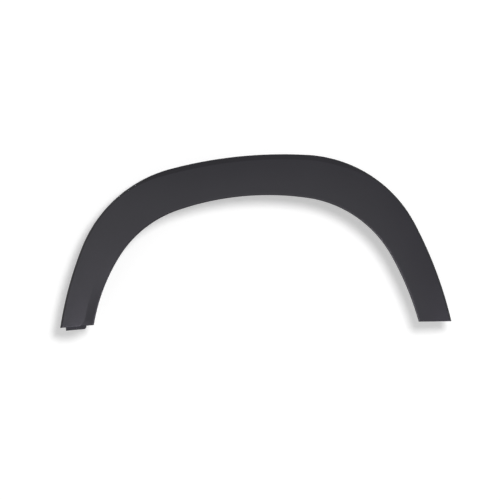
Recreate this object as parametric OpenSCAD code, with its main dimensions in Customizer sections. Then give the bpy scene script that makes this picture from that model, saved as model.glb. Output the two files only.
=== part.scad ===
// Wheel arch trim: one moulding that covers the edge of a wheel opening, with the push-in
// clips and sealing rings that fix it to the body.
// Frame: X runs along the car, Z is up, the show face looks to -Y, and the plane Y = 0 is the
// outer skin of the body panel. The origin is the datum pin at the crown, where it meets that
// plane. Left and right are those of someone who looks at the show face.

/* [Overall size] */
// Length from the outer corner of one foot to that of the other
arch_l = 910; // [760:5:1100]
// Height of the show face, from the left foot's outer corner to the crown
arch_h = 404.5; // [335:0.5:490]
// Width of the band at the crown
crown_w = 96; // [80:0.5:115.5]
// Width of the left foot, along X
left_foot_w = 79; // [66:0.5:95]
// Width of the right foot, along X
right_foot_w = 77; // [64:0.5:93]
// Height of the left foot's inner corner above its outer corner
left_foot_rise = 7; // [0:0.5:12]
// Height of the datum pin above the crown of the wheel opening
pin_above_opening = 47.3; // [39:0.1:57]

/* [Outer edge] */
// Direction of the outer edge at the left foot, in degrees above X
outer_heading = 81.5; // [76:0.1:86]
// Radius along the left leg
outer_left_leg_r = 841; // [660:1:1000]
// Turn along the left leg, in degrees
outer_left_leg_turn = 13.3; // [11:0.1:16]
// Radius of the left shoulder
outer_left_shoulder_r = 306; // [250:1:370]
// Turn of the left shoulder, in degrees
outer_left_shoulder_turn = 53.4; // [44:0.1:58]
// Radius along the crown
outer_crown_r = 1023; // [840:1:1220]
// Turn along the crown, in degrees
outer_crown_turn = 18; // [15:0.1:22]
// Radius of the right shoulder
outer_right_shoulder_r = 300; // [250:1:360]
// Turn of the right shoulder, in degrees
outer_right_shoulder_turn = 58.8; // [49:0.1:63]
// Radius along the right leg
outer_right_leg_r = 946; // [780:1:1140]
// Turn along the right leg, in degrees
outer_right_leg_turn = 14.8; // [12:0.1:18]

/* [Edge of the wheel opening] */
// Direction of the opening's edge at the left foot, in degrees above X
opening_heading = 80.5; // [76:0.1:86]
// Radius along the left leg
opening_left_leg_r = 435; // [360:1:525]
// Turn along the left leg, in degrees
opening_left_leg_turn = 21.9; // [18:0.1:27]
// Radius of the left shoulder
opening_left_shoulder_r = 259; // [215:1:315]
// Turn of the left shoulder, in degrees
opening_left_shoulder_turn = 39.7; // [33:0.1:46]
// Radius along the crown
opening_crown_r = 652; // [540:1:785]
// Turn along the crown, in degrees
opening_crown_turn = 26.9; // [22:0.1:32]
// Radius of the right shoulder
opening_right_shoulder_r = 267; // [220:1:320]
// Turn of the right shoulder, in degrees
opening_right_shoulder_turn = 52.4; // [44:0.1:60]
// Radius along the right leg
opening_right_leg_r = 692; // [575:1:830]
// Turn along the right leg, in degrees
opening_right_leg_turn = 13.8; // [11:0.1:17]

/* [Section] */
// Wall of the show face
wall_t = 2.8; // [2:0.1:3.6]
// Height of the show face above the body at the opening's edge
face_h = 27; // [22:0.5:33]
// Height of the crest line above the body
crest_h = 15; // [12:0.5:18]
// How far the show face bulges between the crest line and the opening's edge
face_bulge = 1.6; // [0:0.1:4]
// Radius of the rounded edge of the opening
edge_r = 4; // [2:0.5:6]
// Radius of the crest line
crest_r = 1.5; // [0.5:0.1:2.5]
// Width of the slanted lip at the crown
lip_w = 12; // [9:0.5:15]
// Width of the lip along the legs
lip_leg_w = 3.5; // [2:0.5:6]
// Thickness of the lip where it lands on the body
lip_t = 3.2; // [2.4:0.1:4]
// Wall of the return flange
flange_t = 2.5; // [2:0.1:3.2]
// How far the return flange reaches behind the skin of the body
flange_back = 9; // [6:0.5:12]
// How far the return flange leans outwards at its free edge
flange_lean = 2; // [0:0.5:4]

/* [Lip taper] */
// X of the end of the thin lip on the left shoulder
lip_left_thin_x = -330; // [-360:5:-290]
// X of the start of the wide lip on the left
lip_left_wide_x = -185; // [-230:5:-150]
// X of the end of the wide lip on the right
lip_right_wide_x = 175; // [140:5:210]
// X of the start of the thin lip on the right shoulder
lip_right_thin_x = 300; // [260:5:350]

/* [Chamfer of the left leg] */
// Width of the chamfer beside the opening at the left foot
strip_w = 24; // [20:0.5:29]
// How far the chamfer drops at the opening's edge
strip_drop = 7; // [4:0.5:8.5]
// Length of the chamfer along the opening's edge
strip_l = 190; // [150:5:230]
// Extra width of the chamfer at the very end of the foot
strip_flare = 12; // [0:0.5:14.5]
// Length of that flare
strip_flare_l = 14; // [10:0.5:17]

/* [Tongue of the left foot] */
// How far the tongue reaches beyond the foot
tongue_l = 7.5; // [6:0.5:9]
// Width of the tongue
tongue_w = 48; // [40:0.5:58]
// Distance of the tongue from the outer corner of the foot
tongue_from_corner = 13.5; // [11:0.5:16.5]
// Thickness of the tongue
tongue_t = 2; // [1.6:0.1:2.4]
// How far the tongue runs up behind the show face
tongue_root = 16; // [12:0.5:20]
// Size of the bevel on the tongue's inner corner
tongue_bevel = 4; // [2:0.5:5]

/* [Clip towers] */
// Number of clips
clip_count = 10; // [8:1:12]
// Distance along the opening's edge from each foot to its first clip
clip_margin = 50; // [42:1:60]
// Distance of the clips from the outer edge
clip_from_outer = 36; // [30:0.5:43.5]
// Length of a tower along the trim
tower_l = 27; // [22:0.5:32.5]
// Width of a tower across the trim
tower_w = 24; // [20:0.5:29]
// Wall of a tower
tower_t = 1.8; // [1.5:0.1:2.2]
// Thickness of the plate that holds the clip
plate_t = 2.2; // [1.8:0.1:2.7]

/* [Clips and sealing rings] */
// Radius of the clip's neck
neck_r = 3.5; // [2.9:0.1:4.2]
// Clearance of the neck in its slot
neck_gap = 0.2; // [0.1:0.05:0.4]
// Radius of the clip's head
head_r = 8; // [6.6:0.1:9.6]
// Thickness of the clip's head
head_t = 1.6; // [1.3:0.1:2]
// Radius of the clip's collar
collar_r = 9; // [7.5:0.1:10.8]
// Thickness of the clip's collar
collar_t = 1.5; // [1.2:0.1:1.8]
// Radius of the plain shank, which fills the hole in the body
shank_r = 3.9; // [3.2:0.1:4.7]
// How far the plain shank passes the skin of the body
shank_l = 1.4; // [1:0.1:2]
// Number of barbs
barb_count = 4; // [3:1:5]
// Radius of the barbs
barb_r = 4.7; // [3.9:0.1:5.7]
// Distance from barb to barb
barb_pitch = 3; // [2.5:0.1:3.6]
// Radius of the core between the barbs
core_r = 2.4; // [2:0.1:2.9]
// Length of the tapered tip
tip_l = 3.5; // [2.5:0.5:5]
// Radius of the tip at its end
tip_r = 1.2; // [1:0.1:1.5]
// Thickness of a sealing ring
seal_t = 4; // [3.3:0.1:4.8]
// Outer radius of a sealing ring
seal_r = 11; // [9:0.5:13.5]
// Clearance of the ring round the shank
seal_gap = 0.2; // [0.1:0.05:0.5]

/* [Locating pins] */
// Radius of a locating pin
pin_r = 3; // [2.5:0.1:3.6]
// Length of the plain pin behind the skin of the body
pin_l = 10; // [8:0.5:12]
// Length of the pin's tapered tip
pin_tip_l = 3; // [2:0.5:4]
// Radius of the pin at its end
pin_tip_r = 1.8; // [1.5:0.1:2.2]
// Radius of the boss that carries a pin
pin_boss_r = 5; // [4.1:0.1:6]
// Length of the gussets of a pin's boss
pin_gusset_l = 13; // [11:0.5:16]

/* [Screw holes] */
// Number of screw holes in the return flange
screw_count = 5; // [4:1:6]
// Distance along the opening's edge from each foot to its first screw hole
screw_margin = 76; // [63:1:92]
// Radius of a screw hole
screw_r = 2.6; // [2.2:0.1:3.1]
// Radius of the pad round a screw hole
screw_pad_r = 7; // [6:0.1:8]
// Thickness of the pad, from the seat of the screw to the nut's side
screw_pad_t = 5; // [4.5:0.1:6]
// Depth of the seat sunk into the flange
screw_seat = 0.6; // [0.4:0.1:0.8]
// Width of the pad that is left round the seat
screw_rim = 1; // [0.8:0.1:1.5]
// Height of the screw holes above the skin of the body
screw_h = 6; // [4:0.5:8]

/* [Ribs] */
// Thickness of the ribs
rib_t = 1.6; // [1.2:0.1:2]
// Number of gussets between two clips
gusset_count = 3; // [2:1:4]
// Width of the gussets behind the opening's edge
gusset_w = 17; // [14:0.5:20.5]
// Height above the body at which the gussets end
gusset_h = 4; // [2:0.5:6]
// Height above the body at which the lip's brackets end
bracket_h = 3; // [2.5:0.5:4]
// How far these brackets reach in from the crest line
bracket_w = 15; // [12.5:0.5:18]
// Thickness of the walls that close the feet
end_wall_t = 2.4; // [2:0.1:3]
// Distance of these walls from the ends of the feet
end_wall_set = 1.2; // [0.8:0.1:2]
// Gap between these walls and the body
end_wall_gap = 1; // [0.5:0.1:2]

/* [Hidden] */
$fn = 48;
plastic_black = [0.13, 0.13, 0.14];
nylon_white = [0.86, 0.85, 0.8];
foam_grey = [0.3, 0.31, 0.33];

// Small lengths that keep unions sound
bite = 1.2; // how far a rib's root is sunk into the wall that carries it
over = 0.5; // how far a cutting tool runs past what it cuts
// Details of ribs, slots and clips
rib_foot = 3; // height of a gusset's free edge where it meets the face
rib_toe = 1; // how far a gusset's other end stands out from the wall that it ties
boss_free = 3; // length of a pin's boss that stands free of its gussets
gusset_set = 3; // least distance between a gusset and the pad of a screw
mouth_l = 3; // length of the flared mouth of a slot
mouth_flare = 2; // how far the mouth flares on each side
head_bevel = 0.8; // bevel of a clip's head
collar_rim = 0.7; // thickness of a clip's collar at its rim
collar_cut = 1.5; // how far the collar's underside is cut back from its rim
barb_gap = 0.4; // plain core before each barb
barb_slope = 0.5; // height of a barb's upper side
barb_edge = 0.4; // thickness of a barb's edge
inner_r = 1; // radius inside the rounded edge of the opening
tongue_bite = 1; // how far the tongue is sunk into the face's wall
// Steps of the swept moulding
step_l = 15; // distance between two sections along the opening's edge
foot_steps = [0, 3.5, 7, 10.5, 14]; // close sections at each foot, where the chamfer flares
skew_l = 95; // length over which the sections turn into line with the cut of a foot
face_steps = 5; // intervals across the show face
strip_mid = 0.55; // share of the chamfer's width at which it has a point of its own
corner_steps = 4; // intervals round a rounded corner
tongue_steps = 6; // intervals across the tongue
// Searches by halving
halvings = 40; // number of halvings
search_l = 150; // how far from its guess a point of the outer edge is searched

// Places along Z
opening_crown_z = -pin_above_opening;
outer_crown_z = opening_crown_z + crown_w;
left_outer_z = outer_crown_z - arch_h;
left_inner_z = left_outer_z + left_foot_rise;

// Heights above the body of a clip's stack, from the body outwards
collar_h = seal_t;
plate_h = collar_h + collar_t;
head_h = plate_h + plate_t;

function ease(x) = let (t = min(max(x, 0), 1)) t * t * (3 - 2 * t);
function blend(a, b, t) = a + (b - a) * t;
function unit(v) = v / norm(v);
function turned(v, a) = [v.x * cos(a) - v.y * sin(a), v.x * sin(a) + v.y * cos(a)];
function cross2(a, b) = a.x * b.y - a.y * b.x;
function sum(list, n) = n <= 0 ? 0 : list[n - 1] + sum(list, n - 1);

// An edge is a chain of tangent arcs. Each arc is [start, heading, radius, turn, distance at
// its start], and the chain turns to the right as it runs from the left foot to the right.
function arc_move(r, h, a) = r * [sin(h) - sin(h - a), cos(h - a) - cos(h)];
function arc_len(r, a) = r * a * PI / 180;
function moves(r, t, h, n) =
    n <= 0 ? [0, 0] : moves(r, t, h, n - 1) + arc_move(r[n - 1], h - sum(t, n - 1), t[n - 1]);
function chain(h, r, t) = [for (k = [0:len(r) - 1])
    [moves(r, t, h, k), h - sum(t, k), r[k], t[k],
        sum([for (j = [0:len(r) - 1]) arc_len(r[j], t[j])], k)]];
function chain_len(c) = let (e = c[len(c) - 1]) e[4] + arc_len(e[2], e[3]);
// Point and direction at a distance along a chain: the first and last arcs run on past the feet
function on_chain(c, s) =
    let (
        k = max([for (j = [0:len(c) - 1]) j == 0 || s >= c[j][4] ? j : 0]),
        a = (s - c[k][4]) / c[k][2] * 180 / PI
    )
    [c[k][0] + arc_move(c[k][2], c[k][1], a), [cos(c[k][1] - a), sin(c[k][1] - a)]];
// Height of the chain's highest point, where an arc's heading passes through zero
function chain_top(c) = max([for (a = c) a[0].y + a[2] *
    (cos(max(a[1] - a[3], 0)) - cos(max(a[1], 0)))]);
// An edge is its chain fitted to the start, the span along X and the height of the crown
function edge(c, start, span, top_z) =
    let (l = chain_len(c), end = on_chain(c, l)[0])
    [c, start, [span / end.x, (top_z - start.y) / chain_top(c)], l];
function scaled(v, k) = [v.x * k.x, v.y * k.y];
function edge_at(e, s) = e[1] + scaled(on_chain(e[0], s)[0], e[2]);
function edge_dir(e, s) = unit(scaled(on_chain(e[0], s)[1], e[2]));

outer = edge(
    chain(outer_heading,
        [outer_left_leg_r, outer_left_shoulder_r, outer_crown_r, outer_right_shoulder_r,
            outer_right_leg_r],
        [outer_left_leg_turn, outer_left_shoulder_turn, outer_crown_turn,
            outer_right_shoulder_turn, outer_right_leg_turn]),
    [-arch_l / 2, left_outer_z], arch_l, outer_crown_z);
opening = edge(
    chain(opening_heading,
        [opening_left_leg_r, opening_left_shoulder_r, opening_crown_r, opening_right_shoulder_r,
            opening_right_leg_r],
        [opening_left_leg_turn, opening_left_shoulder_turn, opening_crown_turn,
            opening_right_shoulder_turn, opening_right_leg_turn]),
    [-arch_l / 2 + left_foot_w, left_inner_z], arch_l - left_foot_w - right_foot_w,
    opening_crown_z);
opening_l = opening[3];
outer_l = outer[3];

// Angle from the opening's normal to the cut of a foot
function normal_at(s) = turned(edge_dir(opening, s), 90);
function skew_of(s_in, s_out) =
    let (n = normal_at(s_in), d = edge_at(outer, s_out) - edge_at(opening, s_in))
    atan2(cross2(n, d), n * d);
left_skew = skew_of(0, 0);
right_skew = skew_of(opening_l, outer_l);
function skew_at(s) = left_skew * ease(1 - s / skew_l) +
    right_skew * ease(1 - (opening_l - s) / skew_l);

// Where the line across the band meets the outer edge, by halving the stretch that holds it
function meet(p, d, lo, hi, n) =
    let (mid = (lo + hi) / 2)
    n == 0 ? mid :
    cross2(d, edge_at(outer, mid) - p) > 0 ? meet(p, d, mid, hi, n - 1)
    : meet(p, d, lo, mid, n - 1);

// A section of the band: [point on the opening's edge, direction across, width, s]
function section_at(s) =
    let (
        p = edge_at(opening, s),
        d = turned(normal_at(s), skew_at(s)),
        guess = s * outer_l / opening_l,
        q = edge_at(outer, meet(p, d, guess - search_l, guess + search_l, halvings))
    )
    [p, d, norm(q - p), s];
function outer_x(c) = c[0].x + c[1].x * c[2];
function lip_at(c) = blend(lip_leg_w, lip_w,
    ease((outer_x(c) - lip_left_thin_x) / (lip_left_wide_x - lip_left_thin_x)) *
    ease((lip_right_thin_x - outer_x(c)) / (lip_right_thin_x - lip_right_wide_x)));

// Chamfer of the left leg: its width and its drop at the opening's edge
function strip_w_at(s) = strip_w + strip_flare * pow(max(1 - s / strip_flare_l, 0), 2);
function strip_drop_at(s) = strip_drop * ease(1 - s / strip_l);

// Height of the show face above the body at a distance v from the opening's edge
function face_at(c, v) =
    let (
        across = c[2] - lip_at(c),
        q = 1 - v / across,
        w = strip_w_at(c[3])
    )
    blend(crest_h, face_h, q) + face_bulge * 4 * q * (1 - q)
        - strip_drop_at(c[3]) * max(1 - v / w, 0);

// A rounded corner at b between a and c, as a curve of corner_steps intervals
function corner(a, b, c, r) =
    let (
        u = unit(a - b),
        w = unit(c - b),
        turn = 180 - acos(min(max(u * w, -1), 1)),
        t = min(r * tan(turn / 2), 0.45 * norm(a - b), 0.45 * norm(c - b)),
        p = b + u * t,
        q = b + w * t
    )
    [for (k = [0:corner_steps])
        let (f = k / corner_steps)
        p * pow(1 - f, 2) + b * 2 * f * (1 - f) + q * pow(f, 2)];

// Distances from the opening's edge at which the show face has a point
function face_places(c) =
    let (
        across = c[2] - lip_at(c),
        w = strip_w_at(c[3])
    )
    concat([for (k = [1:face_steps - 1]) blend(across, w, k / face_steps)], [w, w * strip_mid]);

// The closed outline of a section as [distance across, height]: the skin from the foot of the
// lip over the crest and the face to the free edge of the flange, then back along the inside
function outline(c) =
    let (
        l = c[2],
        lip = lip_at(c),
        foot = [l, 0],
        crest = [l - lip, crest_h],
        edge = [0, face_at(c, 0)],
        free = [flange_lean, -flange_back],
        places = face_places(c),
        skin = [for (v = places) [v, face_at(c, v)]],
        inside = [for (v = places) [v, face_at(c, v) - wall_t]],
        last = len(places) - 1,
        free_in = free + [flange_t, 0],
        edge_h = face_at(c, flange_t) - wall_t,
        edge_in = [flange_v(c, edge_h) + flange_t, edge_h],
        crest_in = [l - lip_t - lip * (crest_h - wall_t) / crest_h, crest_h - wall_t],
        foot_in = [l - lip_t, 0]
    )
    concat(
        [foot],
        corner(foot, crest, skin[0], crest_r),
        skin,
        corner(skin[last], edge, free, edge_r),
        [free, free_in],
        corner(free_in, edge_in, inside[last], inner_r),
        [for (k = [last:-1:0]) inside[k]],
        [crest_in, foot_in]
    );

// A section's point in space
function placed(c, p) = let (q = c[0] + c[1] * p.x) [q.x, -p.y, q.y];

// The sections of the sweep: close ones at the feet and even ones between
run_l = opening_l - 2 * foot_steps[len(foot_steps) - 1];
run_steps = ceil(run_l / step_l);
stations = concat(
    foot_steps,
    [for (k = [1:run_steps - 1]) foot_steps[len(foot_steps) - 1] + run_l * k / run_steps],
    [for (k = [len(foot_steps) - 1:-1:0]) opening_l - foot_steps[k]]
);

module shell() {
    rings = [for (s = stations) let (c = section_at(s)) [for (p = outline(c)) placed(c, p)]];
    n = len(rings[0]);
    m = len(rings);
    sides = [for (i = [0:m - 2], j = [0:n - 1]) let (
            a = i * n + j,
            b = i * n + (j + 1) % n
        ) each [[a, a + n, b], [b, a + n, b + n]]];
    ends = concat(cap(outline(section_at(stations[0])), 0, true),
        cap(outline(section_at(stations[m - 1])), (m - 1) * n, false));
    polyhedron(points = [for (r = rings) each r], faces = concat(sides, ends), convexity = 8);
}

// The end of the sweep as strips between the skin and the inside, which run side by side
function cap(o, base, flip) =
    let (
        n = len(o),
        skin_n = 1 + (corner_steps + 1) + face_steps + 1 + (corner_steps + 1) + 1,
        tri = zip(o, 0, n - 1, skin_n - 1)
    )
    [for (t = tri) flip ? [base + t[0], base + t[2], base + t[1]]
        : [base + t[0], base + t[1], base + t[2]]];
// Joins two rows of points that start at i and j and end side by side, shortest link first
function zip(o, i, j, stop) =
    i == stop && j == stop + 1 ? [] :
    j == stop + 1 || (i < stop && norm(o[i + 1] - o[j]) <= norm(o[i] - o[j - 1]))
        ? concat([[i, i + 1, j]], zip(o, i + 1, j, stop))
        : concat([[i, j - 1, j]], zip(o, i, j - 1, stop));

// Local frame of a section: x runs across the band from the opening's edge, y is the height
// above the body and z runs along the trim towards the right foot
module at_section(c) {
    multmatrix([
        [c[1].x, 0, c[1].y, c[0].x],
        [0, -1, 0, 0],
        [c[1].y, 0, -c[1].x, c[0].y],
        [0, 0, 0, 1]
    ]) children();
}

// A flat rib across the band, centred on z, from an outline in the section
module rib(points, t, z) {
    translate([0, 0, z - t / 2]) linear_extrude(t) polygon(points);
}

// Middle of the face's wall, where the roots of ribs end
function root_at(c, v) = face_at(c, v) - bite;

function clip_s(i) = blend(clip_margin, opening_l - clip_margin, (i - 1) / (clip_count - 1));
function clip_section(i) = section_at(clip_s(i));
function clip_v(c) = c[2] - clip_from_outer;

// A tower that carries one clip: a plate with a slot, two side walls and a back wall
module tower(c) {
    v = clip_v(c);
    lo = v - tower_w / 2;
    hi = v + tower_w / 2;
    for (side = [-1, 1])
        rib([[lo, plate_h], [hi, plate_h], [hi, root_at(c, hi)], [lo, root_at(c, lo)]],
            tower_t, side * (tower_l - tower_t) / 2);
    rib([[lo, plate_h], [lo + tower_t, plate_h], [lo + tower_t, root_at(c, lo + tower_t)],
        [lo, root_at(c, lo)]], tower_l, 0);
    difference() {
        translate([lo, plate_h, -tower_l / 2]) cube([tower_w, plate_t, tower_l]);
        slot(v, hi);
    }
}

// The slot that the clip's neck slides into from the outer side of the tower
module slot(v, hi) {
    half = neck_r + neck_gap;
    translate([v, plate_h - over, 0]) rotate([-90, 0, 0])
        cylinder(r = half, h = plate_t + 2 * over);
    translate([0, plate_h - over, 0]) rotate([-90, 0, 0]) linear_extrude(plate_t + 2 * over)
        polygon([[v, -half], [hi - mouth_l, -half], [hi + over, -half - mouth_flare],
            [hi + over, half + mouth_flare], [hi - mouth_l, half], [v, half]]);
}

// Places of the locating pins: the datum pin at the origin, and one on each leg
datum_s = pass_origin(0, opening_l, halvings);
function pass_origin(lo, hi, n) =
    let (mid = (lo + hi) / 2, p = edge_at(opening, mid), d = turned(normal_at(mid), skew_at(mid)))
    n == 0 ? mid : cross2(d, -p) < 0 ? pass_origin(mid, hi, n - 1) : pass_origin(lo, mid, n - 1);
leg_pin_s = [for (k = [2, clip_count - 2]) (clip_s(k) + clip_s(k + 1)) / 2];

// A locating pin on a boss with four gussets, at a distance v from the opening's edge
module locating_pin(c, v) {
    translate([v, 0, 0]) rotate([90, 0, 0]) {
        cylinder(r = pin_r, h = pin_l);
        translate([0, 0, pin_l]) cylinder(r1 = pin_r, r2 = pin_tip_r, h = pin_tip_l);
        translate([0, 0, -seal_t]) cylinder(r = pin_r, h = seal_t);
        translate([0, 0, -root_at(c, v)]) cylinder(r = pin_boss_r, h = root_at(c, v) - seal_t);
    }
    step = seal_t + boss_free;
    lo = v - pin_gusset_l;
    hi = v + pin_gusset_l;
    rib([[v - pin_boss_r, step], [v + pin_boss_r, step], [hi, root_at(c, hi) - rib_foot],
        [hi, root_at(c, hi)], [lo, root_at(c, lo)], [lo, root_at(c, lo) - rib_foot]], rib_t, 0);
    root = root_at(c, v);
    translate([v - rib_t / 2, 0, 0]) rotate([0, 90, 0]) linear_extrude(rib_t)
        polygon([[-pin_boss_r, step], [pin_boss_r, step], [pin_gusset_l, root - rib_foot],
            [pin_gusset_l, root], [-pin_gusset_l, root], [-pin_gusset_l, root - rib_foot]]);
}

function screw_s(k) =
    blend(screw_margin, opening_l - screw_margin, (k - 1) / (screw_count - 1));
// Distance of the flange's outer face from the opening's edge at the height of a screw hole
function flange_v(c, h) =
    let (top = face_at(c, 0)) flange_lean * (top - h) / (top + flange_back);

// The pad and the hole of a screw, along the line across the band
module screw_pad(c) {
    v = flange_v(c, screw_h);
    translate([v + screw_seat, screw_h, 0]) rotate([0, 90, 0])
        cylinder(r = screw_pad_r, h = screw_pad_t);
}
module screw_hole(c) {
    v = flange_v(c, screw_h);
    reach = screw_seat + flange_lean + over;
    translate([v + screw_seat - reach, screw_h, 0]) rotate([0, 90, 0])
        cylinder(r = screw_pad_r - screw_rim, h = reach);
    translate([v - over, screw_h, 0]) rotate([0, 90, 0])
        cylinder(r = screw_r, h = screw_pad_t + screw_seat + 2 * over);
}

// A gusset that ties the return flange to the face
module gusset(c) {
    v = flange_v(c, gusset_h);
    rib([[v + bite, gusset_h], [v + flange_t + rib_toe, gusset_h],
        [gusset_w, root_at(c, gusset_w) - rib_foot], [gusset_w, root_at(c, gusset_w)],
        [bite, root_at(c, bite)]], rib_t, 0);
}

// Distance of the lip's outer face from the opening's edge at a height above the body
function lip_v(c, h) = c[2] - lip_at(c) * h / crest_h;

// A bracket that ties the lip to the face
module bracket(c) {
    crest_v = c[2] - lip_at(c);
    v = lip_v(c, bracket_h);
    end = crest_v - bracket_w;
    rib([[v - bite, bracket_h], [v - lip_t - rib_toe, bracket_h],
        [end, root_at(c, end) - rib_foot], [end, root_at(c, end)],
        [crest_v - bite, root_at(c, crest_v)]], rib_t, 0);
}

// Places of the ribs: gussets evenly between the clips, except beside a screw hole, and a
// bracket midway between two clips
function screw_gap(s) = min([for (k = [1:screw_count]) abs(s - screw_s(k))]);
gusset_s = [
    for (i = [1:clip_count - 1], k = [0.5:1:gusset_count])
        let (s = blend(clip_s(i), clip_s(i + 1), k / gusset_count))
        if (screw_gap(s) > screw_pad_r + gusset_set) s
];
bracket_s = [for (i = [1:clip_count - 1]) blend(clip_s(i), clip_s(i + 1), 0.5)];

// A wall across the inside of a foot. It follows the inside of the face and the lip
module end_wall(c) {
    places = face_places(c);
    rib(concat(
        [[flange_v(c, end_wall_gap) + bite, end_wall_gap], [bite, root_at(c, bite)]],
        [for (k = [len(places) - 1:-1:0]) [places[k], root_at(c, places[k])]],
        [[lip_v(c, crest_h) - bite, crest_h - bite],
            [lip_v(c, end_wall_gap) - bite, end_wall_gap]]
    ), end_wall_t, 0);
}
// The wall of the left foot stands behind the root of the tongue
end_wall_s = [tongue_root + end_wall_set + end_wall_t / 2,
    opening_l - end_wall_set - end_wall_t / 2];

// The tongue of the left foot: a tab that follows the inside of the face and reaches past
// the foot, with a bevel on its inner corner
module tongue(c) {
    out_v = c[2] - tongue_from_corner;
    in_v = out_v - tongue_w;
    places = [for (k = [0:tongue_steps]) blend(in_v, out_v, k / tongue_steps)];
    function inside(v) = face_at(c, v) - wall_t;
    difference() {
        rib(concat(
            [for (v = places) [v, inside(v) + tongue_bite]],
            [for (k = [tongue_steps:-1:0]) [places[k], inside(places[k]) - tongue_t]]
        ), tongue_l + tongue_root, (tongue_root - tongue_l) / 2);
        translate([in_v, 0, -tongue_l]) rotate([-90, 0, 0]) linear_extrude(face_h) polygon([
            [-over, over], [tongue_bevel + over, over], [-over, -tongue_bevel - over]]);
    }
}

module moulding() {
    color(plastic_black) difference() {
        union() {
            shell();
            for (i = [1:clip_count]) let (c = clip_section(i)) at_section(c) tower(c);
            let (c = section_at(datum_s)) at_section(c) locating_pin(c, norm(c[0]));
            for (s = leg_pin_s) let (c = section_at(s)) at_section(c) locating_pin(c, clip_v(c));
            for (k = [1:screw_count]) let (c = section_at(screw_s(k))) at_section(c) screw_pad(c);
            for (s = gusset_s) let (c = section_at(s)) at_section(c) gusset(c);
            for (s = bracket_s) let (c = section_at(s)) at_section(c) bracket(c);
            for (s = end_wall_s) let (c = section_at(s)) at_section(c) end_wall(c);
            let (c = section_at(0)) at_section(c) tongue(c);
        }
        for (k = [1:screw_count]) let (c = section_at(screw_s(k))) at_section(c) screw_hole(c);
    }
}

// A push-in clip: head, neck, collar, plain shank and barbs, from the tower to the tip
module clip(i) {
    c = clip_section(i);
    barbs_h = -shank_l;
    tip_h = barbs_h - barb_count * barb_pitch;
    top = head_h + head_t;
    slope_h = barb_gap + barb_slope;
    barb = [[core_r, barb_gap], [barb_r, slope_h], [barb_r, slope_h + barb_edge]];
    color(nylon_white) at_section(c) translate([clip_v(c), 0, 0]) rotate([-90, 0, 0])
        rotate_extrude() polygon(concat(
            [[0, top], [head_r - head_bevel, top], [head_r, top - head_bevel], [head_r, head_h],
                [neck_r, head_h], [neck_r, plate_h], [collar_r, plate_h],
                [collar_r, plate_h - collar_rim], [collar_r - collar_cut, collar_h],
                [shank_r, collar_h], [shank_r, barbs_h]],
            [for (k = [0:barb_count - 1], p = barb) [p.x, barbs_h - k * barb_pitch - p.y]],
            [[core_r, tip_h], [tip_r, tip_h - tip_l], [0, tip_h - tip_l]]
        ));
}

// The soft ring that seals the clip's hole in the body
module seal_ring(i) {
    c = clip_section(i);
    color(foam_grey) at_section(c) translate([clip_v(c), 0, 0]) rotate([-90, 0, 0])
        difference() {
            cylinder(r = seal_r, h = seal_t);
            translate([0, 0, -over]) cylinder(r = shank_r + seal_gap, h = seal_t + 2 * over);
        }
}

moulding();
for (i = [1:clip_count]) {
    clip(i);
    seal_ring(i);
}
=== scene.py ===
import bmesh
import bpy
import numpy as np
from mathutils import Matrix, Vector


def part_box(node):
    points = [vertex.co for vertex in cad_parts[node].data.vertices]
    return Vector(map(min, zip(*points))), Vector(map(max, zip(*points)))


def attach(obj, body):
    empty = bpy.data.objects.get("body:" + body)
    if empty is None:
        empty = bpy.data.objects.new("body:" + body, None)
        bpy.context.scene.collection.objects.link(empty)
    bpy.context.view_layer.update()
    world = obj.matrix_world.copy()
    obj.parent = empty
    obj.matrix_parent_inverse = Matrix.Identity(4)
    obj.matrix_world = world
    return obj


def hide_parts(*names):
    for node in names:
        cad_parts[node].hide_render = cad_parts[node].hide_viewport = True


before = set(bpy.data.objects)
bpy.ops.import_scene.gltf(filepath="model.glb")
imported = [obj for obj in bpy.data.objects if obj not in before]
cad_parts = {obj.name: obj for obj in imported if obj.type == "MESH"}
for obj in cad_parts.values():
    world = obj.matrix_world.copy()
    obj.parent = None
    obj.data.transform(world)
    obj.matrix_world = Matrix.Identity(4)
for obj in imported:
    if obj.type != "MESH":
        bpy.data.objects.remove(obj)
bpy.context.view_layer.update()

# The trim is drawn in millimetres: x along the car, h above the outer skin of the body, z up.
# A mesh is in metres, and there h above the body is -Y. In the names of sizes, L is a length,
# W a width, T a thickness, H a height and R a radius.
MM = 0.001

# Overall size: from foot to foot between the outer corners, and from the left one up to the
# crown. Then the band's width at the crown and feet, and the levels that follow
ARCH_L = 910.0
ARCH_H = 404.5
CROWN_W = 96.0
LEFT_FOOT_W = 79.0
RIGHT_FOOT_W = 77.0
LEFT_FOOT_RISE = 7.0
PIN_ABOVE_OPENING = 47.3
OPENING_CROWN_Z = -PIN_ABOVE_OPENING
OUTER_CROWN_Z = OPENING_CROWN_Z + CROWN_W
LEFT_OUTER_Z = OUTER_CROWN_Z - ARCH_H
LEFT_INNER_Z = LEFT_OUTER_Z + LEFT_FOOT_RISE

# The two edges, from the left foot to the right: left leg, left shoulder, crown, right shoulder
# and right leg, each an arc of this radius that turns by so many degrees
OUTER_HEADING = 81.5
OUTER_RADII = [841, 306, 1023, 300, 946]
OUTER_TURNS = [13.3, 53.4, 18, 58.8, 14.8]
OPENING_HEADING = 80.5
OPENING_RADII = [435, 259, 652, 267, 692]
OPENING_TURNS = [21.9, 39.7, 26.9, 52.4, 13.8]

# Section across the band: the face from the crest line to the opening, and its rounded corners
WALL_T = 2.8
FACE_H = 27.0
CREST_H = 15.0
FACE_BULGE = 1.6
EDGE_R = 4.0
EDGE_INNER_R = 1.0
CREST_R = 1.5
CREST_INNER_R = 0.8
RIM_R = 0.5

# Lip outside the crest line, and the two stretches over which it narrows to the legs
LIP_W = 12.0
LIP_LEG_W = 3.5
LIP_T = 3.2
LIP_LEFT_X = (-330.0, -185.0)
LIP_RIGHT_X = (175.0, 300.0)

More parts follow.
